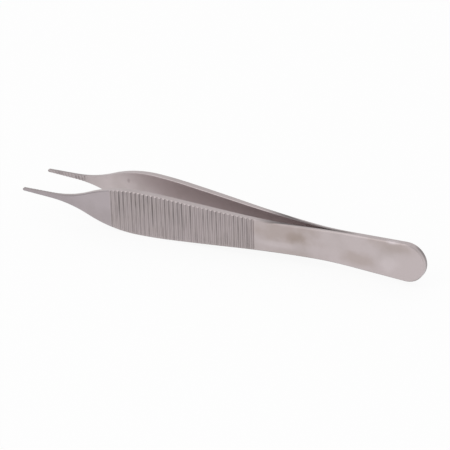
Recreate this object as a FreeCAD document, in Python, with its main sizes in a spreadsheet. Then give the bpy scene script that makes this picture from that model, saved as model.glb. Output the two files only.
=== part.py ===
import FreeCAD, Part
import math
import os
import Sketcher
from FreeCAD import Placement, Rotation, Vector
from types import SimpleNamespace

# Thumb forceps of stainless steel: two sprung arms, welded face to face at the heel.
#
# Frame: the forceps lie on the long edges of their arms. +X runs along them to the heel and -X to the
# tips, the arms part along Y, and +Z is up. The origin is under the middle, on the surface below.
#
# Both arms come from the same blank, cut from strip, ground, bent and grooved. Each is drawn in a frame
# of its own: x from the tips, y outwards from the face that meets the other arm, z from mid-width.

# Driving sizes in millimetres, but the taper in degrees, and ratios and counts without a unit. A place
# is measured along the arm from the tips.
SIZES = [
    ("overall_length", 120.0, "tips to the round end of the heel"),
    ("weld_length", 22.0, "heel end to where the arms part"),
    ("heel_thickness", 1.02, "one arm at the heel"),
    ("flare_radius", 80.0, "bend with which an arm leaves the weld"),
    ("spring_length", 20.8, "where the arms part to the knee, where the sprung part meets the grip"),
    ("knee_opening", 3.7, "gap between the arms at the knee"),
    ("knee_thickness", 1.3, "one arm at the knee"),
    ("knee_ratio", 0.8, "share of the straight run from knee to flare that the knee's bend takes up"),
    ("bend_place", 18.0, "place of the bend that brings the jaws parallel"),
    ("bend_radius", 105.0, "bend into the jaws"),
    ("jaw_opening", 12.2, "gap between the jaws at rest"),
    ("tip_thickness", 1.1, "one arm at the tip"),
    ("crown_ratio", 0.61, "place where the grip is thickest, as a share of the way from tips to knee"),
    ("grip_thickness", 2.05, "one arm at that place, over the ridges"),
    ("front_place", 27.0, "place where the outer face turns from the grip to the jaw"),
    ("front_radius", 180.0, "that turn of the outer face"),
    ("tip_width", 0.75, "width of the tip, and twice the radius of its round end"),
    ("tip_taper", 2.0, "slope of each long edge of the jaw"),
    ("neck_radius", 34.0, "hollow curve of the outline from the jaw to the shoulder"),
    ("shoulder_radius", 39.5, "round curve in front of the widest place"),
    ("wide_place", 36.8, "widest place"),
    ("wide_width", 12.9, "width there"),
    ("crest_radius", 155.0, "round curve behind the widest place"),
    ("taper_run", 19.2, "straight run of the outline from there to the waist's curve"),
    ("waist_to_heel", 37.3, "narrowest place behind the grip to the heel end"),
    ("waist_width", 8.75, "width there"),
    ("back_run", 20.8, "straight run of the outline from the waist's curve to the heel's"),
    ("heel_width", 10.9, "width of the heel, and twice the radius of its round end"),
    ("edge_bevel", 0.28, "bevel that breaks the outer edges"),
    ("inner_bevel", 0.12, "bevel that breaks the inner edges, up to the weld"),
    ("groove_count", 34, "grooves of the grip"),
    ("groove_first", 29.3, "place of the first groove"),
    ("groove_pitch", 1.27, "from groove to groove along the outer face"),
    ("groove_depth", 0.3, "depth of a groove"),
    ("groove_floor", 0.36, "width of a groove's flat floor"),
    ("groove_mouth", 0.92, "width of a groove at the outer face"),
    ("notch_count", 11, "notches across each jaw"),
    ("notch_first", 0.9, "place of the first notch"),
    ("notch_pitch", 1.07, "from notch to notch"),
    ("notch_depth", 0.22, "depth of a notch"),
    ("notch_mouth", 0.84, "width of a notch at the jaw's face"),
]
STOCK = 3.0  # strip around the blank's outline, which the blanking cut takes away
CLEARING = 1.5  # height of a groove's or notch's cutter, in depths of the cut, so that it clears the face

# A sketch's own origin and x axis, as the geometry that stands for them.
ORIGIN = (-1, 1)
X_AXIS = (-1,)


class Drawing:
    """A sketch on a plane of a body: named lines and arcs, held by sizes from the sheet."""

    def __init__(self, body, name, plane):
        self.sketch = body.newObject("Sketcher::SketchObject", body.Label + "_" + name)
        support = next(item for item in body.Origin.OriginFeatures if item.Role == plane)
        self.sketch.AttachmentSupport = [(support, "")]
        self.sketch.MapMode = "FlatFace"
        self.pieces = {}

    def line(self, name, start, end, guide=False):
        """A straight piece, or a guide that only holds sizes."""
        index = self.sketch.addGeometry(Part.LineSegment(start, end), guide)
        self.pieces[name] = (index, 1, 2)

    def arc(self, name, centre, start, end, long_way=False):
        first = math.atan2(start.y - centre.y, start.x - centre.x)
        last = math.atan2(end.y - centre.y, end.x - centre.x)
        forward = ((last - first) % (2 * math.pi) < math.pi) != long_way
        angles = (first, last) if forward else (last, first)
        circle = Part.Circle(centre, Vector(0, 0, 1), (start - centre).Length)
        index = self.sketch.addGeometry(Part.ArcOfCircle(circle, *angles), False)
        self.pieces[name] = (index, 1, 2) if forward else (index, 2, 1)

    def circle(self, name, centre, radius):
        index = self.sketch.addGeometry(Part.Circle(centre, Vector(0, 0, 1), radius), False)
        self.pieces[name] = (index, 3, 3)

    def polygon(self, names, corners):
        """Straight sides from corner to corner, joined all round."""
        for name, start, end in zip(names, corners, corners[1:] + corners[:1]):
            self.line(name, start, end)
        for name, following in zip(names, names[1:] + names[:1]):
            self.hold("Coincident", self.end(name), self.start(following))

    def whole(self, name):
        return self.pieces[name][0]

    def start(self, name):
        return self.pieces[name][0], self.pieces[name][1]

    def end(self, name):
        return self.pieces[name][0], self.pieces[name][2]

    def centre(self, name):
        return self.pieces[name][0], 3

    def add(self, kind, items, values=()):
        numbers = []
        for item in items:
            numbers.extend(item if isinstance(item, tuple) else (item,))
        return self.sketch.addConstraint(Sketcher.Constraint(kind, *numbers, *values))

    def hold(self, kind, *items):
        """A relation that has no size. An item is a piece or one of its points."""
        self.add(kind, items)

    def size(self, name, kind, *items, rule):
        """A size whose value is worked out from the sheet by a rule."""
        value = self.sketch.evalExpression(rule)
        if kind == "Angle":
            value = math.radians(value.Value)
        index = self.add(kind, items, (float(value),))
        self.sketch.renameConstraint(index, name)
        self.sketch.setExpression("Constraints." + name, rule)

    def reading(self, name, kind, *items):
        """A size that follows from the others, named for the features that need it."""
        index = self.add(kind, items, (1.0,))
        self.sketch.setDriving(index, False)
        self.sketch.renameConstraint(index, name)


def draw_plan(body, at):
    """The arm seen from above: its inner and its outer face, as straight runs joined by arcs."""
    heel_end = at.overall_length + STOCK
    weld = at.overall_length - at.weld_length
    jaw = Vector(at.bend_place, at.jaw_opening / 2)
    knee = Vector(weld - at.spring_length, at.knee_opening / 2)
    out = Vector(0, 1)

    # Inner face. The grip runs straight from the bend to the knee, and the spring from the knee to the
    # flare, which it touches.
    grip_slope = math.atan2(jaw.y - knee.y, knee.x - jaw.x)
    flare_centre = Vector(weld, at.flare_radius)
    reach = flare_centre - knee
    spring_slope = math.asin(at.flare_radius / reach.Length) - math.atan2(reach.y, reach.x)
    along_grip = Vector(math.cos(grip_slope), -math.sin(grip_slope))
    along_spring = Vector(math.cos(spring_slope), -math.sin(spring_slope))
    out_of_grip = Vector(math.sin(grip_slope), math.cos(grip_slope))
    out_of_spring = Vector(math.sin(spring_slope), math.cos(spring_slope))
    bend_run = at.bend_radius * math.tan(grip_slope / 2)
    knee_run = at.knee_ratio * math.sqrt(reach.dot(reach) - at.flare_radius ** 2)
    knee_radius = knee_run / math.tan((spring_slope - grip_slope) / 2)
    bend_front = jaw - Vector(bend_run, 0)
    bend_back = jaw + along_grip * bend_run
    knee_front = knee - along_grip * knee_run
    knee_back = knee + along_spring * knee_run
    flare_front = flare_centre - out_of_spring * at.flare_radius

    # Outer face. The long curve of the grip lies parallel to the inner face at its crown, thins to the
    # knee, and touches the turn to the jaw in front and the flare behind.
    crown_inside = jaw + along_grip * ((at.crown_ratio * knee.x - jaw.x) / along_grip.x)
    crown = crown_inside + out_of_grip * at.grip_thickness
    knee_outside = knee + out_of_grip * at.knee_thickness
    thinning = at.grip_thickness - at.knee_thickness
    grip_radius = ((knee - crown_inside).Length ** 2 / thinning + thinning) / 2
    grip_centre = crown - out_of_grip * grip_radius
    turn_back = Vector(at.front_place, grip_centre.y)
    turn_back.y += math.sqrt(grip_radius ** 2 - (turn_back.x - grip_centre.x) ** 2)
    turn_centre = turn_back + (grip_centre - turn_back) * (at.front_radius / grip_radius)
    tip = Vector(0, at.jaw_opening / 2 + at.tip_thickness)
    reach = turn_centre - tip
    jaw_slope = math.asin(at.front_radius / reach.Length) + math.atan2(reach.y, reach.x)
    along_jaw = Vector(math.cos(jaw_slope), math.sin(jaw_slope))
    turn_front = turn_centre + Vector(-along_jaw.y, along_jaw.x) * at.front_radius
    tip_end = tip - along_jaw * (STOCK / along_jaw.x)
    outer_radius = at.flare_radius - at.heel_thickness
    heel_start = Vector(grip_centre.x, at.heel_thickness)
    heel_start.x += math.sqrt((grip_radius + outer_radius) ** 2
                              - (heel_start.y + outer_radius - grip_centre.y) ** 2)
    outer_centre = heel_start + out * outer_radius
    outer_front = outer_centre + (grip_centre - outer_centre).normalize() * outer_radius

    plan = Drawing(body, "plan", "XY_Plane")
    plan.line("tip_side", tip_end, Vector(-STOCK, jaw.y))
    plan.line("jaw_inside", Vector(-STOCK, jaw.y), bend_front)
    plan.arc("bend", bend_front - out * at.bend_radius, bend_front, bend_back)
    plan.line("grip_inside", bend_back, knee_front)
    plan.arc("knee", knee_front - out_of_grip * knee_radius, knee_front, knee_back)
    plan.line("spring_inside", knee_back, flare_front)
    plan.arc("flare", flare_centre, flare_front, Vector(weld, 0))
    plan.line("weld_face", Vector(weld, 0), Vector(heel_end, 0))
    plan.line("heel_side", Vector(heel_end, 0), Vector(heel_end, at.heel_thickness))
    plan.line("heel_outside", Vector(heel_end, at.heel_thickness), heel_start)
    plan.arc("outer_flare", outer_centre, heel_start, outer_front)
    plan.arc("grip_outside", grip_centre, outer_front, turn_back)
    plan.arc("turn", turn_centre, turn_back, turn_front)
    plan.line("jaw_outside", turn_front, tip_end)
    around = list(plan.pieces)
    sides = {"tip_side", "heel_side"}
    for piece, following in zip(around, around[1:] + around[:1]):
        kind = "Coincident" if sides & {piece, following} else "Tangent"
        plan.hold(kind, plan.end(piece), plan.start(following))
    for side in sorted(sides):
        plan.hold("Vertical", plan.whole(side))
    for level in ("jaw_inside", "weld_face", "heel_outside"):
        plan.hold("Horizontal", plan.whole(level))
    plan.hold("PointOnObject", plan.start("weld_face"), X_AXIS)

    plan.size("front_end", "DistanceX", plan.start("jaw_inside"), ORIGIN, rule=f"{STOCK}")
    plan.size("heel_end", "DistanceX", ORIGIN, plan.end("weld_face"), rule=f"sizes.overall_length + {STOCK}")
    plan.size("weld_place", "DistanceX", ORIGIN, plan.start("weld_face"),
              rule="sizes.overall_length - sizes.weld_length")
    plan.size("jaw_height", "DistanceY", ORIGIN, plan.start("jaw_inside"), rule="sizes.jaw_opening / 2")
    plan.size("heel_height", "DistanceY", ORIGIN, plan.start("heel_outside"), rule="sizes.heel_thickness")
    plan.size("bend_radius", "Radius", plan.whole("bend"), rule="sizes.bend_radius")
    plan.size("flare_radius", "Radius", plan.whole("flare"), rule="sizes.flare_radius")
    plan.size("outer_radius", "Radius", plan.whole("outer_flare"),
              rule="sizes.flare_radius - sizes.heel_thickness")
    plan.size("turn_radius", "Radius", plan.whole("turn"), rule="sizes.front_radius")
    plan.size("turn_place", "DistanceX", ORIGIN, plan.start("turn"), rule="sizes.front_place")

    # Guides: from bend to knee, and through the arm at the crown of the grip, at the knee and at the tip.
    plan.line("bends", jaw, knee, guide=True)
    plan.hold("PointOnObject", plan.start("bends"), plan.whole("jaw_inside"))
    plan.hold("PointOnObject", plan.start("bends"), plan.whole("grip_inside"))
    plan.hold("PointOnObject", plan.end("bends"), plan.whole("grip_inside"))
    plan.hold("PointOnObject", plan.end("bends"), plan.whole("spring_inside"))
    plan.size("bend_place", "DistanceX", ORIGIN, plan.start("bends"), rule="sizes.bend_place")
    plan.size("spring_length", "DistanceX", plan.end("bends"), plan.start("weld_face"),
              rule="sizes.spring_length")
    plan.size("knee_height", "DistanceY", ORIGIN, plan.end("bends"), rule="sizes.knee_opening / 2")
    plan.size("knee_run", "Distance", plan.end("bends"), plan.end("knee"),
              rule="sizes.knee_ratio * sqrt(sizes.spring_length ^ 2 - sizes.flare_radius ^ 2"
                   " + (sizes.flare_radius - sizes.knee_opening / 2) ^ 2)")
    plan.line("crown", crown_inside, crown, guide=True)
    plan.hold("PointOnObject", plan.start("crown"), plan.whole("grip_inside"))
    plan.hold("PointOnObject", plan.end("crown"), plan.whole("grip_outside"))
    plan.hold("Perpendicular", plan.whole("crown"), plan.whole("grip_inside"))
    plan.hold("PointOnObject", plan.centre("grip_outside"), plan.whole("crown"))
    plan.size("crown_place", "DistanceX", ORIGIN, plan.start("crown"),
              rule="sizes.crown_ratio * (sizes.overall_length - sizes.weld_length - sizes.spring_length)")
    plan.size("grip_thickness", "Distance", plan.whole("crown"), rule="sizes.grip_thickness")
    plan.line("knee_through", knee, knee_outside, guide=True)
    plan.hold("Coincident", plan.start("knee_through"), plan.end("bends"))
    plan.hold("PointOnObject", plan.end("knee_through"), plan.whole("grip_outside"))
    plan.hold("Perpendicular", plan.whole("knee_through"), plan.whole("grip_inside"))
    plan.size("knee_thickness", "Distance", plan.whole("knee_through"), rule="sizes.knee_thickness")
    plan.line("tip", Vector(0, jaw.y), tip, guide=True)
    plan.hold("PointOnObject", plan.start("tip"), plan.whole("jaw_inside"))
    plan.hold("PointOnObject", plan.end("tip"), plan.whole("jaw_outside"))
    plan.hold("Vertical", plan.whole("tip"))
    plan.hold("Vertical", plan.end("tip"), ORIGIN)
    plan.size("tip_thickness", "Distance", plan.whole("tip"), rule="sizes.tip_thickness")
    plan.reading("grip_centre_x", "DistanceX", ORIGIN, plan.centre("grip_outside"))
    plan.reading("grip_centre_y", "DistanceY", ORIGIN, plan.centre("grip_outside"))
    plan.reading("grip_radius", "Radius", plan.whole("grip_outside"))
    return plan.sketch


def draw_outline(body, at):
    """The blank's outline seen from the side, in a frame of strip that the blanking cut takes away."""
    tip_radius = at.tip_width / 2
    heel_radius = at.heel_width / 2
    taper = math.radians(at.tip_taper)
    wide = Vector(at.wide_place, at.wide_width / 2)
    waist = Vector(at.overall_length - at.waist_to_heel, at.waist_width / 2)
    up = Vector(0, 1)

    # Centres of the round ends and curves, and the directions of the straight runs between them. The
    # waist's curves follow from their places and from the straight runs that they touch.
    tip_centre = Vector(tip_radius, 0)
    shoulder_centre = wide - up * at.shoulder_radius
    crest_centre = wide - up * at.crest_radius
    heel_centre = Vector(at.overall_length - heel_radius, 0)
    along_jaw = Vector(math.cos(taper), math.sin(taper))
    off_jaw = Vector(-math.sin(taper), math.cos(taper))
    jaw_front = tip_centre + off_jaw * tip_radius
    reach = jaw_front + off_jaw * at.neck_radius - shoulder_centre
    lead = reach.dot(along_jaw)
    curves = at.neck_radius + at.shoulder_radius
    jaw_run = -lead - math.sqrt(lead ** 2 - reach.dot(reach) + curves ** 2)
    jaw_back = jaw_front + along_jaw * jaw_run
    neck_centre = jaw_back + off_jaw * at.neck_radius
    neck_back = neck_centre + (shoulder_centre - neck_centre) * (at.neck_radius / curves)
    drop = wide - waist
    front_radius = (drop.dot(drop) - at.taper_run ** 2) / (2 * drop.y) - at.crest_radius
    front_centre = waist + up * front_radius
    reach = front_centre - crest_centre
    fall = math.atan2(reach.x, reach.y) - math.atan2(at.taper_run, at.crest_radius + front_radius)
    off_taper = Vector(math.sin(fall), math.cos(fall))
    reach = heel_centre - waist
    room = reach.dot(reach) - heel_radius ** 2 - at.back_run ** 2
    back_radius = room / (2 * (heel_radius - waist.y))
    back_centre = waist + up * back_radius
    reach = back_centre - heel_centre
    climb = math.atan2(-reach.x, reach.y) - math.atan2(at.back_run, heel_radius + back_radius)
    off_back = Vector(-math.sin(climb), math.cos(climb))
    crest_back = crest_centre + off_taper * at.crest_radius
    taper_back = front_centre - off_taper * front_radius
    back_front = back_centre - off_back * back_radius
    heel_front = heel_centre + off_back * heel_radius

    def below(point):
        return Vector(point.x, -point.y)

    outline = Drawing(body, "outline", "XZ_Plane")
    outline.arc("tip", tip_centre, below(jaw_front), jaw_front)
    upper = [
        ("jaw", jaw_front, jaw_back, None),
        ("neck", jaw_back, neck_back, neck_centre),
        ("shoulder", neck_back, wide, shoulder_centre),
        ("crest", wide, crest_back, crest_centre),
        ("taper", crest_back, taper_back, None),
        ("waist_front", taper_back, waist, front_centre),
        ("waist_back", waist, back_front, back_centre),
        ("back", back_front, heel_front, None),
    ]
    for name, start, end, centre in upper:
        if centre:
            outline.arc(name, centre, start, end)
        else:
            outline.line(name, start, end)
    outline.arc("heel", heel_centre, heel_front, below(heel_front), long_way=True)
    around = list(outline.pieces)
    for piece, following in zip(around, around[1:]):
        outline.hold("Tangent", outline.end(piece), outline.start(following))

    # The lower edge mirrors the upper one, from the heel back to the tip.
    for round_end in ("tip", "heel"):
        outline.hold("PointOnObject", outline.centre(round_end), X_AXIS)
        outline.hold("Vertical", outline.start(round_end), outline.end(round_end))
    last = "heel"
    for name, start, end, centre in reversed(upper):
        lower = "lower_" + name
        if centre:
            outline.arc(lower, below(centre), below(end), below(start))
            outline.hold("Equal", outline.whole(name), outline.whole(lower))
        else:
            outline.line(lower, below(end), below(start))
        outline.hold("Coincident", outline.end(last), outline.start(lower))
        if name == "jaw":
            outline.hold("Coincident", outline.end(lower), outline.start("tip"))
        else:
            outline.hold("Symmetric", outline.start(name), outline.end(lower), X_AXIS)
        last = lower

    outline.size("tip_radius", "Radius", outline.whole("tip"), rule="sizes.tip_width / 2")
    outline.size("tip_place", "DistanceX", ORIGIN, outline.centre("tip"), rule="sizes.tip_width / 2")
    outline.size("tip_taper", "Angle", outline.whole("jaw"), rule="sizes.tip_taper * 1 deg")
    outline.size("neck_radius", "Radius", outline.whole("neck"), rule="sizes.neck_radius")
    outline.size("shoulder_radius", "Radius", outline.whole("shoulder"), rule="sizes.shoulder_radius")
    outline.size("wide_place", "DistanceX", ORIGIN, outline.start("crest"), rule="sizes.wide_place")
    outline.size("wide_height", "DistanceY", ORIGIN, outline.start("crest"), rule="sizes.wide_width / 2")
    outline.size("crest_place", "DistanceX", ORIGIN, outline.centre("crest"), rule="sizes.wide_place")
    outline.size("crest_radius", "Radius", outline.whole("crest"), rule="sizes.crest_radius")
    outline.size("taper_run", "Distance", outline.whole("taper"), rule="sizes.taper_run")
    outline.size("waist_place", "DistanceX", ORIGIN, outline.start("waist_back"),
                 rule="sizes.overall_length - sizes.waist_to_heel")
    outline.size("waist_height", "DistanceY", ORIGIN, outline.start("waist_back"),
                 rule="sizes.waist_width / 2")
    outline.hold("Vertical", outline.start("waist_back"), outline.centre("waist_back"))
    outline.size("back_run", "Distance", outline.whole("back"), rule="sizes.back_run")
    outline.size("heel_place", "DistanceX", ORIGIN, outline.centre("heel"),
                 rule="sizes.overall_length - sizes.heel_width / 2")
    outline.size("heel_radius", "Radius", outline.whole("heel"), rule="sizes.heel_width / 2")

    # The strip's edges, well outside the blank.
    left, right = -2 * STOCK, at.overall_length + 2 * STOCK
    top = at.wide_width / 2 + 2 * STOCK
    strip = ("strip_low", "strip_back", "strip_high", "strip_front")
    outline.polygon(strip, [Vector(left, -top), Vector(right, -top), Vector(right, top), Vector(left, top)])
    for side, kind in zip(strip, ("Horizontal", "Vertical", "Horizontal")):
        outline.hold(kind, outline.whole(side))
    outline.hold("Symmetric", outline.start("strip_low"), outline.end("strip_high"), X_AXIS)
    outline.size("strip_left", "DistanceX", outline.start("strip_low"), ORIGIN, rule=f"{2 * STOCK}")
    outline.size("strip_right", "DistanceX", ORIGIN, outline.start("strip_back"),
                 rule=f"sizes.overall_length + {2 * STOCK}")
    outline.size("strip_top", "DistanceY", ORIGIN, outline.start("strip_high"),
                 rule=f"sizes.wide_width / 2 + {2 * STOCK}")
    return outline.sketch


def draw_weld(body, at):
    """The part of the heel, next to the other arm, where the weld fills the bevel of the edges."""
    weld = Drawing(body, "weld", "XY_Plane")
    left, right = at.overall_length - at.weld_length, at.overall_length + STOCK
    top = at.heel_thickness / 2
    sides = ("face", "back", "inside", "front")
    weld.polygon(sides, [Vector(left, 0), Vector(right, 0), Vector(right, top), Vector(left, top)])
    for side, kind in zip(sides, ("Horizontal", "Vertical", "Horizontal", "Vertical")):
        weld.hold(kind, weld.whole(side))
    weld.hold("PointOnObject", weld.start("face"), X_AXIS)
    weld.size("left", "DistanceX", ORIGIN, weld.start("face"),
              rule="sizes.overall_length - sizes.weld_length")
    weld.size("right", "DistanceX", ORIGIN, weld.end("face"), rule=f"sizes.overall_length + {STOCK}")
    weld.size("depth", "DistanceY", ORIGIN, weld.end("inside"), rule="sizes.heel_thickness / 2")
    return weld.sketch


def draw_groove(body, plan, at):
    """The first groove of the grip. The sketch's origin is the centre of the grip's long curve."""
    groove = Drawing(body, "groove", "XY_Plane")
    grip = f"{plan.Name}.Constraints.grip_"
    groove.sketch.setExpression("AttachmentOffset.Base.x", grip + "centre_x")
    groove.sketch.setExpression("AttachmentOffset.Base.y", grip + "centre_y")
    across = at.groove_first - float(groove.sketch.evalExpression(grip + "centre_x"))
    reach = float(groove.sketch.evalExpression(grip + "radius")) - at.groove_depth
    bottom = Vector(across, math.sqrt(reach ** 2 - across ** 2))
    out = bottom * (1 / reach)
    along = Vector(out.y, -out.x)
    to_floor = along * (at.groove_floor / 2)
    to_mouth = to_floor + along * (CLEARING * (at.groove_mouth - at.groove_floor) / 2)
    top = bottom + out * (CLEARING * at.groove_depth)
    sides = ("floor", "back_wall", "mouth", "front_wall")
    groove.polygon(sides, [bottom - to_floor, bottom + to_floor, top + to_mouth, top - to_mouth])
    groove.line("reach", Vector(0, 0), bottom, guide=True)
    groove.hold("Coincident", groove.start("reach"), ORIGIN)
    groove.hold("Perpendicular", groove.whole("reach"), groove.whole("floor"))
    groove.hold("Symmetric", groove.start("floor"), groove.end("floor"), groove.end("reach"))
    groove.hold("Parallel", groove.whole("floor"), groove.whole("mouth"))
    groove.hold("Equal", groove.whole("back_wall"), groove.whole("front_wall"))
    groove.size("place", "DistanceX", ORIGIN, groove.end("reach"),
                rule=f"sizes.groove_first * 1 mm - {grip}centre_x")
    groove.size("reach", "Distance", groove.whole("reach"),
                rule=f"{grip}radius - sizes.groove_depth * 1 mm")
    groove.size("floor", "Distance", groove.whole("floor"), rule="sizes.groove_floor")
    groove.size("mouth", "Distance", groove.whole("mouth"),
                rule=f"sizes.groove_floor + {CLEARING} * (sizes.groove_mouth - sizes.groove_floor)")
    groove.size("height", "Distance", groove.start("mouth"), groove.whole("floor"),
                rule=f"{CLEARING} * sizes.groove_depth")
    return groove.sketch


def draw_notch(body, at, offset):
    """The first notch across the jaw, a V that opens on the jaw's inner face."""
    bottom = Vector(at.notch_first + offset * at.notch_pitch, at.jaw_opening / 2 + at.notch_depth)
    mouth = bottom - Vector(0, CLEARING * at.notch_depth)
    to_side = Vector(CLEARING * at.notch_mouth / 2, 0)
    notch = Drawing(body, "notch", "XY_Plane")
    notch.polygon(("mouth", "back", "front"), [mouth - to_side, mouth + to_side, bottom])
    notch.hold("Horizontal", notch.whole("mouth"))
    notch.hold("Equal", notch.whole("back"), notch.whole("front"))
    notch.size("place", "DistanceX", ORIGIN, notch.start("front"),
               rule=f"sizes.notch_first + {offset} * sizes.notch_pitch")
    notch.size("bottom", "DistanceY", ORIGIN, notch.start("front"),
               rule="sizes.jaw_opening / 2 + sizes.notch_depth")
    notch.size("height", "DistanceY", notch.start("mouth"), notch.start("front"),
               rule=f"{CLEARING} * sizes.notch_depth")
    notch.size("width", "Distance", notch.whole("mouth"), rule=f"{CLEARING} * sizes.notch_mouth")
    return notch.sketch


def rim(shape, looks):
    """Edges where the faces that look outwards (+1) or inwards (-1) meet the blank's cut edge."""
    names = []
    for number, edge in enumerate(shape.Edges, start=1):
        across = []
        for face in shape.ancestorsOfType(edge, Part.Face):
            first_u, last_u, first_v, last_v = face.ParameterRange
            across.append(face.normalAt((first_u + last_u) / 2, (first_v + last_v) / 2).y)
        if min(map(abs, across)) < 0.01 and max(looks * value for value in across) > 0.9:
            names.append(f"Edge{number}")
    return names


def through(feature, profile):
    """Cuts or fills to both sides of the profile's plane."""
    feature.Profile = profile
    feature.SideType = "Symmetric"
    return feature


def blanking_cut(body, name, outline):
    cut = through(body.newObject("PartDesign::Pocket", body.Label + "_" + name), outline)
    cut.setExpression("Length", "4 * (sizes.jaw_opening + sizes.grip_thickness)")
    return cut


def across_blank(body, kind, name, profile):
    """A pad or pocket over the whole width of the strip."""
    feature = through(body.newObject("PartDesign::" + kind, body.Label + "_" + name), profile)
    feature.setExpression("Length", f"sizes.wide_width + {2 * STOCK}")
    return feature


def bevel_rim(body, name, looks, rule):
    """Breaks a whole rim of the body as it stands."""
    before = body.Tip
    bevel = body.newObject("PartDesign::Chamfer", body.Label + "_" + name)
    bevel.Base = (before, rim(before.Shape, looks))
    bevel.setExpression("Size", rule)
    return bevel


def repeat(body, kind, name, cut, axis, spacing, count, backwards=False):
    """Repeats a cut in a row or round a centre."""
    row = body.newObject("PartDesign::" + kind, body.Label + "_" + name)
    row.Originals = [cut]
    if kind == "PolarPattern":
        row.Axis = axis
    else:
        row.Direction = axis
    row.Mode = "Spacing"
    row.Reversed = backwards
    row.setExpression("Offset", spacing)
    row.setExpression("Occurrences", count)
    body.Tip = row
    return row


def make_arm(doc, name, turn, notch_offset, at):
    """One arm, as a blank that is ground, trimmed, bevelled, grooved and notched, then put in its place."""
    body = doc.addObject("PartDesign::Body", name)
    body.Label = name
    plan = draw_plan(body, at)
    outline = draw_outline(body, at)
    across_blank(body, "Pad", "blank", plan)
    blanking_cut(body, "blanking", outline)
    doc.recompute()
    bevel_rim(body, "inner_edges", -1, "sizes.inner_bevel")
    across_blank(body, "Pad", "weld_fill", draw_weld(body, at))
    blanking_cut(body, "weld_trim", outline)
    doc.recompute()
    bevel_rim(body, "outer_edges", 1, "min(sizes.edge_bevel; 0.4 * sizes.tip_width)")
    doc.recompute()
    smooth_volume = body.Tip.Shape.Volume

    groove_sketch = draw_groove(body, plan, at)
    groove = across_blank(body, "Pocket", "first_groove", groove_sketch)
    repeat(body, "PolarPattern", "grooves", groove, (groove_sketch, ["N_Axis"]),
           f"sizes.groove_pitch * 1 mm / {plan.Name}.Constraints.grip_radius * 1 rad",
           "sizes.groove_count", backwards=True)
    notch_sketch = draw_notch(body, at, notch_offset)
    notch = across_blank(body, "Pocket", "first_notch", notch_sketch)
    repeat(body, "LinearPattern", "notches", notch, (notch_sketch, ["H_Axis"]),
           "sizes.notch_pitch", "sizes.notch_count")
    body.Placement = Placement(Vector(0, 0, 0), Rotation(Vector(1, 0, 0), turn))
    body.setExpression("Placement.Base.x", "-sizes.overall_length / 2")
    body.setExpression("Placement.Base.z", "sizes.wide_width / 2")
    doc.recompute()
    print(f"{name}: {smooth_volume:.2f} mm3 smooth, {body.Shape.Volume:.2f} mm3 grooved and notched")
    return body


def main():
    doc = FreeCAD.newDocument("thumb_forceps")
    sheet = doc.addObject("Spreadsheet::Sheet", "sizes")
    for row, (alias, value, note) in enumerate(SIZES, start=1):
        sheet.set(f"A{row}", note)
        sheet.set(f"B{row}", str(value))
        sheet.setAlias(f"B{row}", alias)
    doc.recompute()
    at = SimpleNamespace(**{alias: getattr(sheet, alias) for alias, value, note in SIZES})

    # The rear arm lies as it is drawn. The front arm is turned over, and its notches lie between those
    # of the rear arm, so that the jaws close into each other.
    arms = [
        make_arm(doc, "rear_arm", 0, 0.5, at),
        make_arm(doc, "front_arm", 180, 0, at),
    ]
    for item in doc.Objects:
        if "Invalid" in item.State or "Error" in item.State:
            raise RuntimeError(f"{item.Label} could not be built: {item.State}")
    os.makedirs("parts", exist_ok=True)
    for arm in arms:
        if arm.Shape.isNull() or not arm.Shape.isValid() or len(arm.Shape.Solids) != 1:
            raise RuntimeError(f"{arm.Label} is not one valid solid")
        arm.Shape.exportStep(f"parts/{arm.Label}.step")


main()
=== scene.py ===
import math

import bpy
from mathutils import Matrix, Vector

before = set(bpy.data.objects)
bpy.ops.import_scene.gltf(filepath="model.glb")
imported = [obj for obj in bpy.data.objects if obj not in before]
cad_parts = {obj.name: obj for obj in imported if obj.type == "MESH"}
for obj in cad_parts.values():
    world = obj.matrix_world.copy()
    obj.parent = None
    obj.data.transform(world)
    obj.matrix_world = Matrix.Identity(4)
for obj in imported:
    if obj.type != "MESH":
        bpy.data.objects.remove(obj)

bl_info = {
    "name": "Thumb Forceps",
    "version": (1, 0, 0),
    "blender": (4, 5, 0),
    "location": "View3D > Sidebar > Forceps",
    "description": "Finishes the arms of a thumb forceps in ground steel and sets up its picture",
    "category": "Object",
}

MM = 0.001
IMAGE_SIDE = 450      # pixels of the square picture
FILM_WIDTH = 36.0     # millimetres

# Brownish patches on the front arm's outer face, in millimetres: place along the forceps, height over
# mid-width, half the length, half the height, and how strong they are.
STAINS = (
    (20.3, 2.2, 9.4, 3.6, 0.85),
    (23.6, 1.0, 2.8, 1.7, 0.8),
    (22.0, -4.2, 8.0, 1.5, 0.35),
    (41.0, -1.8, 5.0, 2.0, 0.8),
    (50.5, 4.0, 6.5, 1.9, 0.6),
)

# The same numbers for lighter places: the first two are where the near side is polished brighter, and the
# last is a painted glint on the top edge of the heel.
POLISHED_AND_GLINT = (
    (18.3, -1.7, 5.0, 0.9, 0.4),
    (49.6, -1.2, 2.8, 2.2, 0.5),
    (50.7, 5.4, 1.7, 0.7, 1.0),
)

# The same numbers for dark marks inside the rear arm: a small blemish, painted shade in three of the jaws'
# notches, and a fainter mark near the tip.
BLEMISHES_AND_NOTCH_SHADE = (
    (-32.7, 2.8, 0.5, 0.6, 0.8),
    (-48.4, -0.2, 0.3, 0.6, 1.0),
    (-49.5, -0.2, 0.3, 0.6, 1.0),
    (-50.5, -0.2, 0.3, 0.6, 1.0),
    (-56.0, 0.1, 1.6, 0.5, 0.5),
)

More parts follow.
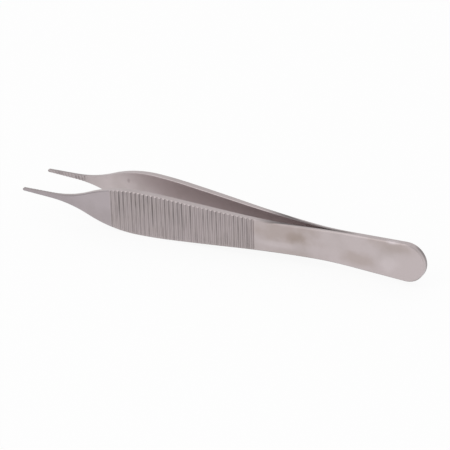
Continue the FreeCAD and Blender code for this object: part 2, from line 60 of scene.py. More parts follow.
# Distances in millimetres over which a tone comes in: nothing at the first, all of it at the second.
FRONT_FADE = (-0.2, -0.9)        # from the first groove, on the face in front of it
JAW_FADE = (10.0, 2.0)           # from the end of the jaws' notches
BITE_FADE = (3.0, -1.0)          # from there, on the jaws' inner faces and edges
NOTCH_FADE = (1.0, 0.0)          # from there, on the walls of the notches
SEAM_BACK_FADE = (3.0, -2.0)     # from the place where the arms part
SEAM_FRONT_FADE = (10.0, 20.0)   # from the middle of the forceps
SEAM_DEPTH_FADE = (0.45, 0.15)   # from the inner faces into the edges
HEEL_FADE = (-0.6, 0.2)          # from the mid-plane, on the end of the heel
GRIP_DEPTH_FADE = (0.7, 0.5)     # from the face of the grip into the arm

# Parts of the normal over which a mask comes in: nothing at the first, all of it at the second.
FACING = (0.3, 0.8)              # outwards on a face, upwards or downwards on an edge
TILTED = (0.4, 0.6)              # both of them on a bevel
LOOKING_DOWN = (-0.3, -0.6)      # upwards
ROUND_HEEL = (0.35, 0.65)        # to the heel
ACROSS_NOTCH = (0.25, 0.5)       # along the forceps, on the walls of the jaws' notches

GRIP_END = (0.45, 0.35)          # pitches past the first and the last groove, where the grip's tones fade
# The bevels' tone is painted shade.
BEVEL_BEHIND = 0.35              # share of the bevels' tone that is left behind the front

# A scale is in marks per metre, a stretch is its share along X, Y and Z, and a range holds the values of a
# noise over which its mask comes in.
CLOUD_SCALE = 130.0
CLOUD_RANGE = (0.42, 0.72)
PATCH_SCALE = 350.0
PATCH_RAGGEDNESS = 1.3
PATCH_RANGE = (1.45, 0.35)       # shares of a patch's half size, from its rim to its full strength
# The WALL numbers shape the painted shade on the grooves' front walls.
WALL_SCALE = 420.0
WALL_STRETCH = (3.0, 1.0, 0.35)
WALL_RANGE = (0.05, 0.6)
WALL_SPREAD = (0.6, 0.5)         # spread and least of a wall's darkness from groove to groove
WALL_HEIGHTS = (0.2, 0.8)        # shares of the width between which the walls get darker
SCORE_SCALE = 2600.0
SCORE_STRETCH = (1.0, 1.0, 0.05)
SCORE_RANGE = (0.5, 0.64)
BELT_SCALE = 9000.0
BELT_STRETCH = (0.15, 1.0, 1.0)
BELT_RANGE = (0.3, 0.7)
BUMP_STRENGTH = 0.4
ROUGHNESS_SPREAD = 0.04

NODE_STEP = 180                  # from node to node in a tree's drawing
CLIP_START = 0.01                # metres from the lens


class ForcepsSizes(bpy.types.PropertyGroup):
    """Where the arms' finish changes. Places run along the forceps from its middle, +X to the heel."""

    grip_centre: bpy.props.FloatVectorProperty(
        name="Grip Centre", description="Centre of the long curve of the grip, seen from above the rear arm",
        default=(-56.285 * MM, -600.20 * MM), size=2, unit="LENGTH", precision=5)
    grip_radius: bpy.props.FloatProperty(
        name="Grip Radius", description="Radius of the long curve of the grip",
        default=607.82 * MM, unit="LENGTH", precision=5)
    groove_first: bpy.props.FloatProperty(
        name="First Groove", description="Place of the first groove",
        default=-30.69 * MM, unit="LENGTH", precision=5)
    groove_pitch: bpy.props.FloatProperty(
        name="Groove Pitch", description="From groove to groove along the face",
        default=1.27 * MM, unit="LENGTH", precision=5)
    groove_count: bpy.props.IntProperty(
        name="Grooves", description="Number of grooves", default=34, min=1)
    groove_floor: bpy.props.FloatProperty(
        name="Groove Floor", description="Width of a groove's floor",
        default=0.36 * MM, unit="LENGTH", precision=5)
    groove_mouth: bpy.props.FloatProperty(
        name="Groove Mouth", description="Width of a groove at the face",
        default=0.92 * MM, unit="LENGTH", precision=5)
    groove_softness: bpy.props.FloatProperty(
        name="Groove Softness", description="Half the width over which one tone of a groove meets the next",
        default=0.05 * MM, unit="LENGTH", precision=5)
    width: bpy.props.FloatProperty(
        name="Width", description="Width of an arm at its widest place",
        default=12.9 * MM, unit="LENGTH", precision=5)
    weld_front: bpy.props.FloatProperty(
        name="Weld Front", description="Place where the arms part, going forwards from the heel",
        default=38.0 * MM, unit="LENGTH", precision=5)
    flare_radius: bpy.props.FloatProperty(
        name="Flare Radius", description="Radius of the bend with which the arms part",
        default=80.0 * MM, unit="LENGTH", precision=5)
    jaw_end: bpy.props.FloatProperty(
        name="Jaw End", description="Place where the notches of the jaws end",
        default=-48.3 * MM, unit="LENGTH", precision=5)


class ForcepsSteel(bpy.types.PropertyGroup):
    """Colours and finish of the steel, and the painted shade, light and highlights on it."""

    colour: bpy.props.FloatVectorProperty(
        name="Steel", description="Colour of the ground steel",
        default=(0.55, 0.485, 0.487), size=3, subtype="COLOR", min=0.0, max=1.0)
    cloud_colour: bpy.props.FloatVectorProperty(
        name="Clouds", description="Colour of the faint clouds that polishing leaves",
        default=(0.50, 0.44, 0.435), size=3, subtype="COLOR", min=0.0, max=1.0)
    stain_colour: bpy.props.FloatVectorProperty(
        name="Stains", description="Tint of the brownish patches, as a share of the steel's colour",
        default=(0.83, 0.80, 0.76), size=3, subtype="COLOR", min=0.0, max=1.0)
    # Painted highlight: this colour also makes a glint on the heel's top edge, besides the brighter polish.
    polished_and_glint_colour: bpy.props.FloatVectorProperty(
        name="Polished", description="Colour of the places that are polished brighter",
        default=(0.64, 0.575, 0.585), size=3, subtype="COLOR", min=0.0, max=1.0)
    # Painted shade: this tint also darkens three of the jaws' notches, besides the small dark marks.
    blemish_and_notch_shade_colour: bpy.props.FloatVectorProperty(
        name="Blemishes", description="Tint of the small dark marks, as a share of the steel's colour",
        default=(0.70, 0.68, 0.68), size=3, subtype="COLOR", min=0.0, max=1.0)
    # Painted shade: the outer faces in front of the grip are made darker, as if less light fell there.
    front_shade_colour: bpy.props.FloatVectorProperty(
        name="Front",
        description="Tint of the outer faces in front of the grip, as a share of the steel's colour",
        default=(0.83, 0.835, 0.865), size=3, subtype="COLOR", min=0.0, max=1.0)
    # Painted shade: the jaws are made darker.
    jaw_shade_tone: bpy.props.FloatProperty(
        name="Jaw Tone", description="Brightness of the jaws",
        default=0.89, min=0.0, max=1.0, subtype="FACTOR")
    # Painted shade on the jaws' inner faces and edges, where the arms face each other.
    bite_shade_tone: bpy.props.FloatProperty(
        name="Bite Tone", description="Brightness of the jaws' inner faces and edges",
        default=0.8, min=0.0, max=1.0, subtype="FACTOR")
    # Painted light: the walls of the jaws' notches get a lighter colour, which evens out their shade.
    notch_light_colour: bpy.props.FloatVectorProperty(
        name="Notches", description="Colour of the burnished walls of the jaws' notches",
        default=(0.78, 0.70, 0.705), size=3, subtype="COLOR", min=0.0, max=1.0)
    # Painted shade: the grip's ridges, the floors of its grooves and most of all the grooves' front walls are
    # made darker.
    ridge_shade_tone: bpy.props.FloatProperty(
        name="Ridge Tone", description="Brightness of the ridges of the grip",
        default=0.78, min=0.0, max=1.0, subtype="FACTOR")
    groove_floor_shade_tone: bpy.props.FloatProperty(
        name="Groove Floor Tone", description="Brightness of the floors of the grooves",
        default=0.86, min=0.0, max=1.0, subtype="FACTOR")
    front_wall_shade_tone: bpy.props.FloatProperty(
        name="Front Wall Tone", description="Brightness of the groove walls on the side of the tips",
        default=0.40, min=0.0, max=1.0, subtype="FACTOR")
    # Painted highlight: a lighter line on the rim of each ridge, on the side of the tips.
    rim_highlight_tone: bpy.props.FloatProperty(
        name="Rim Tone", description="Brightness of the burnished rim of each ridge on the side of the tips",
        default=0.95, min=0.0, max=1.0, subtype="FACTOR")
    score_tone: bpy.props.FloatProperty(
        name="Score Tone", description="Brightness of the fine scores that run along the grooves",
        default=0.8, min=0.0, max=1.0, subtype="FACTOR")
    # Painted shade: the cut edges and the bevels beside them are made a little darker.
    edge_shade_tone: bpy.props.FloatProperty(
        name="Edge Tone", description="Brightness of the cut edges and of the bevels beside them",
        default=0.95, min=0.0, max=1.0, subtype="FACTOR")
    # Painted shade on the outer bevels, in full in front of the grip.
    bevel_shade_tone: bpy.props.FloatProperty(
        name="Bevel Tone", description="Brightness of the outer bevels, in full in front of the grip",
        default=0.82, min=0.0, max=1.0, subtype="FACTOR")
    # Painted shade on the edges and bevels that look down.
    under_shade_tone: bpy.props.FloatProperty(
        name="Under Tone", description="Brightness of the edges and bevels that look down",
        default=0.7, min=0.0, max=1.0, subtype="FACTOR")
    # Painted shade: a dark line on the inner rims of the edges, as of a thin gap where the arms come
    # together.
    seam_shade_tone: bpy.props.FloatProperty(
        name="Seam Tone",
        description="Brightness of the inner rims of the edges, where the arms come together",
        default=0.3, min=0.0, max=1.0, subtype="FACTOR")
    # Painted shade on the rear arm's edge round the end of the heel.
    heel_rim_shade_tone: bpy.props.FloatProperty(
        name="Heel Rim Tone", description="Brightness of the rear arm's edge round the end of the heel",
        default=0.55, min=0.0, max=1.0, subtype="FACTOR")
    roughness: bpy.props.FloatProperty(
        name="Roughness", description="Roughness of the satin finish",
        default=0.34, min=0.05, max=1.0, subtype="FACTOR")
    grain_height: bpy.props.FloatProperty(
        name="Grain Height", description="Height of the grinding marks",
        default=0.004 * MM, min=0.0, unit="LENGTH", precision=6)


class ForcepsStage(bpy.types.PropertyGroup):
    """Floor, light and camera."""

    target: bpy.props.FloatVectorProperty(
        name="Target", description="Point in the middle of the picture",
        default=(0.78 * MM, -0.19 * MM, 5.40 * MM), size=3, subtype="TRANSLATION", precision=5)
    azimuth: bpy.props.FloatProperty(
        name="Azimuth", description="Direction of the camera, from the front towards the heel",
        default=math.radians(29.12), subtype="ANGLE")
    elevation: bpy.props.FloatProperty(
        name="Elevation", description="Height of the camera over the horizon",
        default=math.radians(27.20), subtype="ANGLE")
    roll: bpy.props.FloatProperty(
        name="Roll", description="Lean of the camera",
        default=math.radians(-1.69), subtype="ANGLE")
    distance: bpy.props.FloatProperty(
        name="Distance", description="From the camera to the target",
        default=0.6, min=0.1, unit="LENGTH")
    focal_length: bpy.props.FloatProperty(
        name="Focal Length", description="Focal length of the lens in pixels of the picture",
        default=2213.4, min=100.0)
    floor_side: bpy.props.FloatProperty(
        name="Floor Side", description="Side of the square floor",
        default=6.0, min=1.0, unit="LENGTH")
    floor_colour: bpy.props.FloatVectorProperty(
        name="Floor", description="Colour of the floor",
        default=(0.96, 0.96, 0.96), size=3, subtype="COLOR", min=0.0, max=1.0)
    floor_glow: bpy.props.FloatProperty(
        name="Floor Glow", description="Share of the floor's white that the shadow leaves alone",
        default=0.9, min=0.0, max=1.0, subtype="FACTOR")
    world_strength: bpy.props.FloatProperty(
        name="Room Light", description="Strength of the even light of the room",
        default=0.85, min=0.0)
    key_azimuth: bpy.props.FloatProperty(
        name="Key Azimuth", description="Direction of the key lamp, from the front towards the heel",
        default=math.radians(-43.0), subtype="ANGLE")
    key_elevation: bpy.props.FloatProperty(
        name="Key Elevation", description="Height of the key lamp over the horizon",
        default=math.radians(51.0), subtype="ANGLE")
    key_distance: bpy.props.FloatProperty(
        name="Key Distance", description="From the key lamp to the target",
        default=0.8, min=0.1, unit="LENGTH")
    key_size: bpy.props.FloatProperty(
        name="Key Size", description="Diameter of the key lamp",
        default=0.5, min=0.01, unit="LENGTH")
    key_power: bpy.props.FloatProperty(
        name="Key Power", description="Power of the key lamp in watts",
        default=0.4, min=0.0)


class Nodes:
    """A node tree that is laid out from left to right as it grows."""

    def __init__(self, tree):
        self.tree = tree
        self.count = 0

    def add(self, kind, inputs=None, **settings):
        node = self.tree.nodes.new(kind)
        node.location = (self.count * NODE_STEP, 0)
        self.count += 1
        for name, value in settings.items():
            setattr(node, name, value)
        for socket, value in (inputs or {}).items():
            if isinstance(value, bpy.types.NodeSocket):
                self.tree.links.new(value, node.inputs[socket])
            else:
                node.inputs[socket].default_value = value
        return node

    def math(self, operation, first, second=0.0, third=0.0):
        return self.add("ShaderNodeMath", {0: first, 1: second, 2: third}, operation=operation).outputs[0]

    def product(self, first, *others):
        """All the values multiplied."""
        for other in others:
            first = self.math("MULTIPLY", first, other)
        return first

    def inverse(self, mask):
        return self.math("SUBTRACT", 1.0, mask)

    def ramp(self, value, low, high):
        """0 at the first value and 1 at the second, with a soft start and end."""
        return self.add("ShaderNodeMapRange", {"Value": value, "From Min": low, "From Max": high},
                        interpolation_type="SMOOTHSTEP").outputs["Result"]

    def fade(self, place, origin, distances):
        """0 at the first distance from the origin and 1 at the second, which are in millimetres."""
        start, end = distances
        return self.ramp(place, origin + start * MM, origin + end * MM)

    def mix(self, factor, first, second, blend="MIX"):
        node = self.add("ShaderNodeMix", {"Factor": factor}, data_type="RGBA", blend_type=blend)
        for socket, value in ((node.inputs[6], first), (node.inputs[7], second)):
            if isinstance(value, bpy.types.NodeSocket):
                self.tree.links.new(value, socket)
            else:
                socket.default_value = value
        return node.outputs[2]

    def tone(self, mask, colour, share):
        """The colour times a share of it, where the mask is 1."""
        return self.mix(mask, colour, share, "MULTIPLY")

    def group(self, tree, inputs):
        return self.add("ShaderNodeGroup", inputs, node_tree=tree).outputs


def rgba(colour):
    return (*colour, 1.0)


def grey(level):
    return (level, level, level, 1.0)


def new_group(name, inputs, outputs):
    """A shader group with its own sockets, and the nodes of its inputs and outputs."""
    tree = bpy.data.node_groups.new(name, "ShaderNodeTree")
    for label, kind, default in inputs:
        socket = tree.interface.new_socket(label, in_out="INPUT", socket_type=kind)
        if default is not None:
            socket.default_value = default
    for label, kind in outputs:
        tree.interface.new_socket(label, in_out="OUTPUT", socket_type=kind)
    nodes = Nodes(tree)
    return nodes, nodes.add("NodeGroupInput"), nodes.add("NodeGroupOutput")


def grain_group():
    """Fine marks of the belt, drawn out along one direction, over a matt ground."""
    nodes, source, result = new_group(
        "Grinding Grain",
        [("Vector", "NodeSocketVector", None), ("Stretch", "NodeSocketVector", (1.0, 1.0, 1.0)),
         ("Scale", "NodeSocketFloat", 1000.0)],
        [("Marks", "NodeSocketFloat"), ("Ground", "NodeSocketFloat")])
    drawn = nodes.add("ShaderNodeVectorMath", {0: source.outputs["Vector"], 1: source.outputs["Stretch"]},
                      operation="MULTIPLY")
    marks = nodes.add("ShaderNodeTexNoise", {"Vector": drawn.outputs[0], "Scale": source.outputs["Scale"],
                                             "Detail": 4.0, "Roughness": 0.6})
    ground = nodes.add("ShaderNodeTexNoise", {"Vector": source.outputs["Vector"],
                                              "Scale": source.outputs["Scale"], "Detail": 2.0})
    nodes.tree.links.new(marks.outputs["Fac"], result.inputs["Marks"])
    nodes.tree.links.new(ground.outputs["Fac"], result.inputs["Ground"])
    return nodes.tree


def groove_group(sizes):
    """Masks of the ridges, their rims, and the grooves' front walls and floors, and each groove's number."""
    labels = ("Ridge", "Front Wall", "Rim", "Floor", "Groove")
    nodes, source, result = new_group("Grip Grooves", [("Vector", "NodeSocketVector", None)],
                                      [(label, "NodeSocketFloat") for label in labels])
    split = nodes.add("ShaderNodeSeparateXYZ", {0: source.outputs["Vector"]}).outputs
    along = nodes.math("SUBTRACT", split["X"], sizes.grip_centre[0])
    across = nodes.math("SUBTRACT", nodes.math("ABSOLUTE", split["Y"]), sizes.grip_centre[1])

    # Grooves are counted by the angle about the centre of the grip's long curve.
    first = math.asin((sizes.groove_first - sizes.grip_centre[0]) / sizes.grip_radius)
    turn = nodes.math("SUBTRACT", nodes.math("ARCTAN2", along, across), first)
    place = nodes.math("MULTIPLY", turn, sizes.grip_radius / sizes.groove_pitch)
    number = nodes.math("ROUND", place)
    aside = nodes.math("MULTIPLY", nodes.math("SUBTRACT", place, number), sizes.groove_pitch)
    off = nodes.math("ABSOLUTE", aside)

    # The grip ends past the first and the last groove, and under its face.
    outside, inside = GRIP_END
    last = sizes.groove_count - 1
    reach = nodes.math("SQRT", nodes.math("ADD", nodes.math("POWER", along, 2.0),
                                          nodes.math("POWER", across, 2.0)))
    depth = nodes.math("SUBTRACT", sizes.grip_radius, reach)
    grip = nodes.product(nodes.ramp(place, -outside, -inside),
                         nodes.ramp(place, last + outside, last + inside),
                         nodes.fade(depth, 0.0, GRIP_DEPTH_FADE))

    soft = sizes.groove_softness
    half_floor, half_mouth = sizes.groove_floor / 2, sizes.groove_mouth / 2
    ridge = nodes.ramp(off, half_mouth - soft, half_mouth + soft)
    wall = nodes.product(nodes.ramp(off, half_floor - soft, half_floor + soft), nodes.inverse(ridge))
    front_wall = nodes.product(wall, nodes.math("LESS_THAN", aside, 0.0))
    floor = nodes.ramp(off, half_floor + soft, half_floor - soft)
    rim = nodes.product(nodes.ramp(aside, half_mouth - 3 * soft, half_mouth - soft),
                        nodes.ramp(aside, half_mouth + 4 * soft, half_mouth + 2 * soft))
    for label, mask in zip(labels, (ridge, front_wall, rim, floor)):
        nodes.tree.links.new(nodes.product(mask, grip), result.inputs[label])
    nodes.tree.links.new(number, result.inputs["Groove"])
    return nodes.tree


def patch_group():
    """A soft oval patch with a ragged rim, placed along the forceps and over its width."""
    nodes, source, result = new_group(
        "Patch",
        [("Vector", "NodeSocketVector", None), ("Place", "NodeSocketFloat", 0.0),
         ("Height", "NodeSocketFloat", 0.0), ("Half Length", "NodeSocketFloat", 1.0),
         ("Half Height", "NodeSocketFloat", 1.0), ("Strength", "NodeSocketFloat", 1.0)],
        [("Mask", "NodeSocketFloat")])
    given = source.outputs
    split = nodes.add("ShaderNodeSeparateXYZ", {0: given["Vector"]}).outputs
    along = nodes.math("DIVIDE", nodes.math("SUBTRACT", split["X"], given["Place"]), given["Half Length"])
    above = nodes.math("DIVIDE", nodes.math("SUBTRACT", split["Z"], given["Height"]), given["Half Height"])
    away = nodes.math("SQRT", nodes.math("ADD", nodes.math("POWER", along, 2.0),
                                         nodes.math("POWER", above, 2.0)))
    noise = nodes.add("ShaderNodeTexNoise", {"Vector": given["Vector"], "Scale": PATCH_SCALE, "Detail": 3.0})
    ragged = nodes.math("MULTIPLY", nodes.math("SUBTRACT", noise.outputs["Fac"], 0.5), PATCH_RAGGEDNESS)
    mask = nodes.product(nodes.ramp(nodes.math("ADD", away, ragged), *PATCH_RANGE), given["Strength"])
    nodes.tree.links.new(mask, result.inputs["Mask"])
    return nodes.tree


class Faces:
    """Where a point of the steel lies, which way its face looks, and the masks that follow from both."""

    def __init__(self, nodes, sizes):
        coordinates = nodes.add("ShaderNodeTexCoord").outputs
        self.place = coordinates["Object"]
        where = nodes.add("ShaderNodeSeparateXYZ", {0: self.place}).outputs
        looks = nodes.add("ShaderNodeSeparateXYZ", {0: coordinates["Normal"]}).outputs
        self.along, self.across, self.height = where["X"], where["Y"], where["Z"]
        self.to_heel, self.up = looks["X"], looks["Z"]
        self.lean = nodes.product(looks["Y"], nodes.math("SIGN", self.across))
        self.outwards = nodes.ramp(self.lean, *FACING)
        self.inwards = nodes.inverse(self.outwards)
        self.level = nodes.math("ABSOLUTE", self.up)
        self.edge = nodes.ramp(self.level, *FACING)
        self.front = nodes.fade(self.along, sizes.groove_first, FRONT_FADE)


def add_patches(nodes, faces, colour, sizes, steel):
    """Stains, brighter polish and a painted glint on the front arm, and dark marks inside the rear arm, three
    of them painted shade in the jaws' notches.
    """
    ahead = nodes.math("LESS_THAN", faces.across, 0.0)
    outer = nodes.product(ahead, faces.outwards)
    inner = nodes.product(nodes.inverse(ahead), faces.inwards)
    spots = [(spot, outer, steel.stain_colour, "MULTIPLY") for spot in STAINS]
    # The polished places, the last of which is a painted glint.
    spots += [(spot, ahead, steel.polished_and_glint_colour, "MIX") for spot in POLISHED_AND_GLINT]
    # The dark marks, three of which are painted shade in the jaws' notches.
    spots += [(spot, inner, steel.blemish_and_notch_shade_colour, "MULTIPLY") for spot in BLEMISHES_AND_NOTCH_SHADE]
    tree = patch_group()
    for (x, z, half_length, half_height, strength), side, tint, blend in spots:
        patch = nodes.group(tree, {
            "Vector": faces.place, "Place": x * MM, "Height": z * MM + sizes.width / 2,
            "Half Length": half_length * MM, "Half Height": half_height * MM, "Strength": strength})
        colour = nodes.mix(nodes.product(patch["Mask"], side), colour, rgba(tint), blend)
    return colour


def add_tones(nodes, faces, colour, sizes, steel):
    """Painted shade along the arms and on their edges."""
    jaws = nodes.fade(faces.along, sizes.jaw_end, JAW_FADE)
    bite = nodes.product(nodes.fade(faces.along, sizes.jaw_end, BITE_FADE), faces.inwards)
    # Painted shade on the outer bevels, weaker behind the front.
    bevel = nodes.product(nodes.ramp(faces.lean, *TILTED), nodes.ramp(faces.level, *TILTED),
                          nodes.math("MAXIMUM", faces.front, BEVEL_BEHIND))
    # Painted shade on the rear arm's edge round the end of the heel.
    heel_rim_shade = nodes.product(nodes.ramp(faces.to_heel, *ROUND_HEEL), nodes.fade(faces.across, 0.0, HEEL_FADE))

    # The way from the mid-plane to an inner face grows with the square of the way from the weld.
    before = nodes.math("MAXIMUM", nodes.math("SUBTRACT", sizes.weld_front, faces.along), 0.0)
    gap = nodes.math("DIVIDE", nodes.math("POWER", before, 2.0), 2 * sizes.flare_radius)
    inset = nodes.math("SUBTRACT", nodes.math("ABSOLUTE", faces.across), gap)
    # Painted shade of a thin gap along the inner rims, where the arms meet.
    seam = nodes.product(faces.edge, nodes.fade(inset, 0.0, SEAM_DEPTH_FADE),
                         nodes.fade(faces.along, sizes.weld_front, SEAM_BACK_FADE),
                         nodes.fade(faces.along, 0.0, SEAM_FRONT_FADE))

    for mask, share in (
            # Painted shade on the outer faces in front of the grip.
            (nodes.product(faces.front, faces.outwards), rgba(steel.front_shade_colour)),
            # Painted shade on the jaws.
            (jaws, grey(steel.jaw_shade_tone)),
            # Painted shade on the jaws' inner faces and edges.
            (bite, grey(steel.bite_shade_tone)),
            # Painted shade on the cut edges and the bevels beside them.
            (faces.edge, grey(steel.edge_shade_tone)),
            (bevel, grey(steel.bevel_shade_tone)),
            # Painted shade on the edges and bevels that look down.
            (nodes.ramp(faces.up, *LOOKING_DOWN), grey(steel.under_shade_tone)),
            (heel_rim_shade, grey(steel.heel_rim_shade_tone)),
            # Painted shade in the seam between the arms.
            (seam, grey(steel.seam_shade_tone))):
        colour = nodes.tone(mask, colour, share)
    return colour


def add_grip(nodes, faces, colour, sizes, steel, grain):
    """Painted shade and a painted highlight on the grip, whose groove walls differ a little from groove to
    groove and along each, with fine scores along the grooves.
    """
    grooves = nodes.group(groove_group(sizes), {"Vector": faces.place})
    on_face = nodes.inverse(faces.edge)
    spread, least = WALL_SPREAD
    odd = nodes.add("ShaderNodeTexWhiteNoise", {"W": grooves["Groove"]}, noise_dimensions="1D")
    drawn = nodes.add("ShaderNodeVectorMath", {0: faces.place, 1: WALL_STRETCH}, operation="MULTIPLY")
    streaks = nodes.add("ShaderNodeTexNoise", {"Vector": drawn.outputs[0], "Scale": WALL_SCALE,
                                               "Detail": 2.0})
    low, high = WALL_HEIGHTS
    raised = nodes.ramp(faces.height, low * sizes.width, high * sizes.width)
    # Painted shade on the grooves' front walls, darker higher up, differing from groove to groove and
    # streaked along each.
    dark = nodes.product(grooves["Front Wall"], on_face,
                         nodes.math("MULTIPLY_ADD", odd.outputs["Value"], spread, least),
                         nodes.ramp(streaks.outputs["Fac"], *WALL_RANGE),
                         nodes.math("MULTIPLY_ADD", raised, 0.5, 0.5))
    scores = nodes.group(grain, {"Vector": faces.place, "Stretch": SCORE_STRETCH, "Scale": SCORE_SCALE})
    worked = nodes.math("MAXIMUM", nodes.math("MAXIMUM", grooves["Ridge"], grooves["Floor"]),
                        grooves["Front Wall"])
    for mask, share in (
            # Painted shade on the ridges, the groove floors and the front walls; the scores are grain.
            (nodes.product(grooves["Ridge"], on_face), steel.ridge_shade_tone),
            (nodes.product(grooves["Floor"], on_face), steel.groove_floor_shade_tone),
            (dark, steel.front_wall_shade_tone),
            (nodes.product(worked, on_face, nodes.ramp(scores["Marks"], *SCORE_RANGE)), steel.score_tone)):
        colour = nodes.tone(mask, colour, grey(share))
    # Painted highlight on the rim of each ridge.
    rim_highlight_colour = nodes.tone(1.0, rgba(steel.colour), grey(steel.rim_highlight_tone))
    return nodes.mix(nodes.product(grooves["Rim"], on_face), colour, rim_highlight_colour)


def steel_material(sizes, steel):
    """Satin steel: ground, polished in clouds, stained in patches, with painted shade along the arms, painted
    light in the jaws' notches and painted highlights.
    """
    material = bpy.data.materials.new("Satin Steel")
    material.use_nodes = True
    material.node_tree.nodes.clear()
    nodes = Nodes(material.node_tree)
    faces = Faces(nodes, sizes)
    grain = grain_group()

    clouds = nodes.add("ShaderNodeTexNoise", {"Vector": faces.place, "Scale": CLOUD_SCALE, "Detail": 3.0})
    colour = nodes.mix(nodes.ramp(clouds.outputs["Fac"], *CLOUD_RANGE), rgba(steel.colour),
                       rgba(steel.cloud_colour))
    # Painted light on the walls of the jaws' notches, which evens out their shade.
    lit_notch_walls = nodes.product(faces.inwards, nodes.ramp(nodes.math("ABSOLUTE", faces.to_heel), *ACROSS_NOTCH),
                            nodes.fade(faces.along, sizes.jaw_end, NOTCH_FADE))
    colour = nodes.mix(lit_notch_walls, colour, rgba(steel.notch_light_colour))
    colour = add_patches(nodes, faces, colour, sizes, steel)
    colour = add_tones(nodes, faces, colour, sizes, steel)
    colour = add_grip(nodes, faces, colour, sizes, steel, grain)

    belt = nodes.group(grain, {"Vector": faces.place, "Stretch": BELT_STRETCH, "Scale": BELT_SCALE})
    relief = nodes.math("ADD", belt["Marks"], belt["Ground"])
    bump = nodes.add("ShaderNodeBump", {"Strength": BUMP_STRENGTH, "Distance": steel.grain_height,
                                        "Height": relief})
    smooth, coarse = BELT_RANGE
    rough = nodes.add("ShaderNodeMapRange", {"Value": belt["Marks"], "From Min": smooth, "From Max": coarse,
                                             "To Min": steel.roughness - ROUGHNESS_SPREAD,
                                             "To Max": steel.roughness + ROUGHNESS_SPREAD})
    shader = nodes.add("ShaderNodeBsdfPrincipled", {"Base Color": colour, "Metallic": 1.0,
                                                    "Roughness": rough.outputs["Result"],
                                                    "Normal": bump.outputs["Normal"]})
    nodes.add("ShaderNodeOutputMaterial", {"Surface": shader.outputs[0]})
    return material


def floor_material(stage):
    """Pale floor that the camera and the steel see as white, with the shadow kept."""
    material = bpy.data.materials.new("Pale Floor")
    material.use_nodes = True
    material.node_tree.nodes.clear()
    nodes = Nodes(material.node_tree)
    rays = nodes.add("ShaderNodeLightPath")
    seen = nodes.math("MAXIMUM", rays.outputs["Is Camera Ray"], rays.outputs["Is Glossy Ray"])
    share = nodes.math("MULTIPLY", seen, stage.floor_glow)
    matt = nodes.add("ShaderNodeBsdfDiffuse", {"Color": rgba(stage.floor_colour)})
    glow = nodes.add("ShaderNodeEmission", {"Color": (1.0, 1.0, 1.0, 1.0), "Strength": 1.0})
    surface = nodes.add("ShaderNodeMixShader", {0: share, 1: matt.outputs[0], 2: glow.outputs[0]})
    nodes.add("ShaderNodeOutputMaterial", {"Surface": surface.outputs[0]})
    return material


class FORCEPS_OT_arms(bpy.types.Operator):
    """Gives both arms their steel"""

    bl_idname = "forceps.arms"
    bl_label = "Finish Arms"

    def execute(self, context):
        steel = steel_material(context.scene.forceps_sizes, context.scene.forceps_steel)
        for name in ("front_arm", "rear_arm"):
            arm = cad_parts.get(name)
            if arm is None:
                raise RuntimeError(f"the frame has no node {name}")
            for slot in arm.material_slots:
                slot.material = steel
        return {"FINISHED"}


def direction(azimuth, elevation):
    """The way from the object towards a place round it. Azimuth 0 is the front, and it grows to the heel."""
    return Vector((math.sin(azimuth) * math.cos(elevation), -math.cos(azimuth) * math.cos(elevation),
                   math.sin(elevation)))


def add_key(stage):
    """The soft key lamp, which looks at the target."""
    light = bpy.data.lights.new("Key", "AREA")
    light.shape = "DISK"
    light.size = stage.key_size
    light.energy = stage.key_power
    away = direction(stage.key_azimuth, stage.key_elevation)
    lamp = bpy.data.objects.new("Key", light)
    lamp.location = Vector(stage.target) + away * stage.key_distance
    lamp.rotation_euler = away.to_track_quat("Z", "Y").to_euler()
    bpy.context.scene.collection.objects.link(lamp)


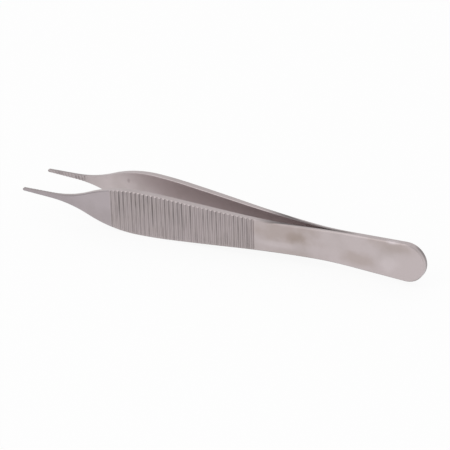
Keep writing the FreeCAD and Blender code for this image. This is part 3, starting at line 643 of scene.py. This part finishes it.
def add_camera(stage):
    """The camera at the photograph's viewing angle."""
    away = direction(stage.azimuth, stage.elevation)
    level = Vector((math.cos(stage.azimuth), math.sin(stage.azimuth), 0.0))
    right = level * math.cos(stage.roll) + away.cross(level) * math.sin(stage.roll)
    up = away.cross(right)
    lens = bpy.data.cameras.new("Camera")
    lens.sensor_width = FILM_WIDTH
    lens.lens = stage.focal_length * FILM_WIDTH / IMAGE_SIDE
    lens.clip_start = CLIP_START
    camera = bpy.data.objects.new("Camera", lens)
    turn = Matrix((right, up, away)).transposed()
    camera.matrix_world = Matrix.Translation(Vector(stage.target) + away * stage.distance) @ turn.to_4x4()
    bpy.context.scene.collection.objects.link(camera)
    bpy.context.scene.camera = camera


class FORCEPS_OT_stage(bpy.types.Operator):
    """Lays the floor and sets up the light and the camera"""

    bl_idname = "forceps.stage"
    bl_label = "Set Stage"

    def execute(self, context):
        stage = context.scene.forceps_stage
        half = stage.floor_side / 2
        mesh = bpy.data.meshes.new("Floor")
        corners = [(-half, -half, 0), (half, -half, 0), (half, half, 0), (-half, half, 0)]
        mesh.from_pydata(corners, [], [(0, 1, 2, 3)])
        mesh.materials.append(floor_material(stage))
        floor = bpy.data.objects.new("Floor", mesh)
        context.scene.collection.objects.link(floor)

        world = bpy.data.worlds.new("Room")
        world.use_nodes = True
        background = world.node_tree.nodes["Background"]
        background.inputs["Color"].default_value = (1.0, 1.0, 1.0, 1.0)
        background.inputs["Strength"].default_value = stage.world_strength
        context.scene.world = world
        add_key(stage)
        context.scene.view_settings.view_transform = "Standard"
        add_camera(stage)
        return {"FINISHED"}


class FORCEPS_PT_panel(bpy.types.Panel):
    """Lists the steps in the 3D view's sidebar"""

    bl_idname = "FORCEPS_PT_panel"
    bl_label = "Thumb Forceps"
    bl_space_type = "VIEW_3D"
    bl_region_type = "UI"
    bl_category = "Forceps"

    def draw(self, context):
        for operator in OPERATORS:
            self.layout.operator(operator.bl_idname)


SETTINGS = {"forceps_sizes": ForcepsSizes, "forceps_steel": ForcepsSteel, "forceps_stage": ForcepsStage}
OPERATORS = (FORCEPS_OT_arms, FORCEPS_OT_stage)


def register():
    for cls in (*SETTINGS.values(), *OPERATORS, FORCEPS_PT_panel):
        bpy.utils.register_class(cls)
    for name, cls in SETTINGS.items():
        setattr(bpy.types.Scene, name, bpy.props.PointerProperty(type=cls))


def unregister():
    for name in SETTINGS:
        delattr(bpy.types.Scene, name)
    for cls in (FORCEPS_PT_panel, *reversed(OPERATORS), *reversed(SETTINGS.values())):
        bpy.utils.unregister_class(cls)


def main():
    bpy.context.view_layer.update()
    register()
    bpy.ops.forceps.arms()
    bpy.ops.forceps.stage()


if __name__ == "__main__":
    main()
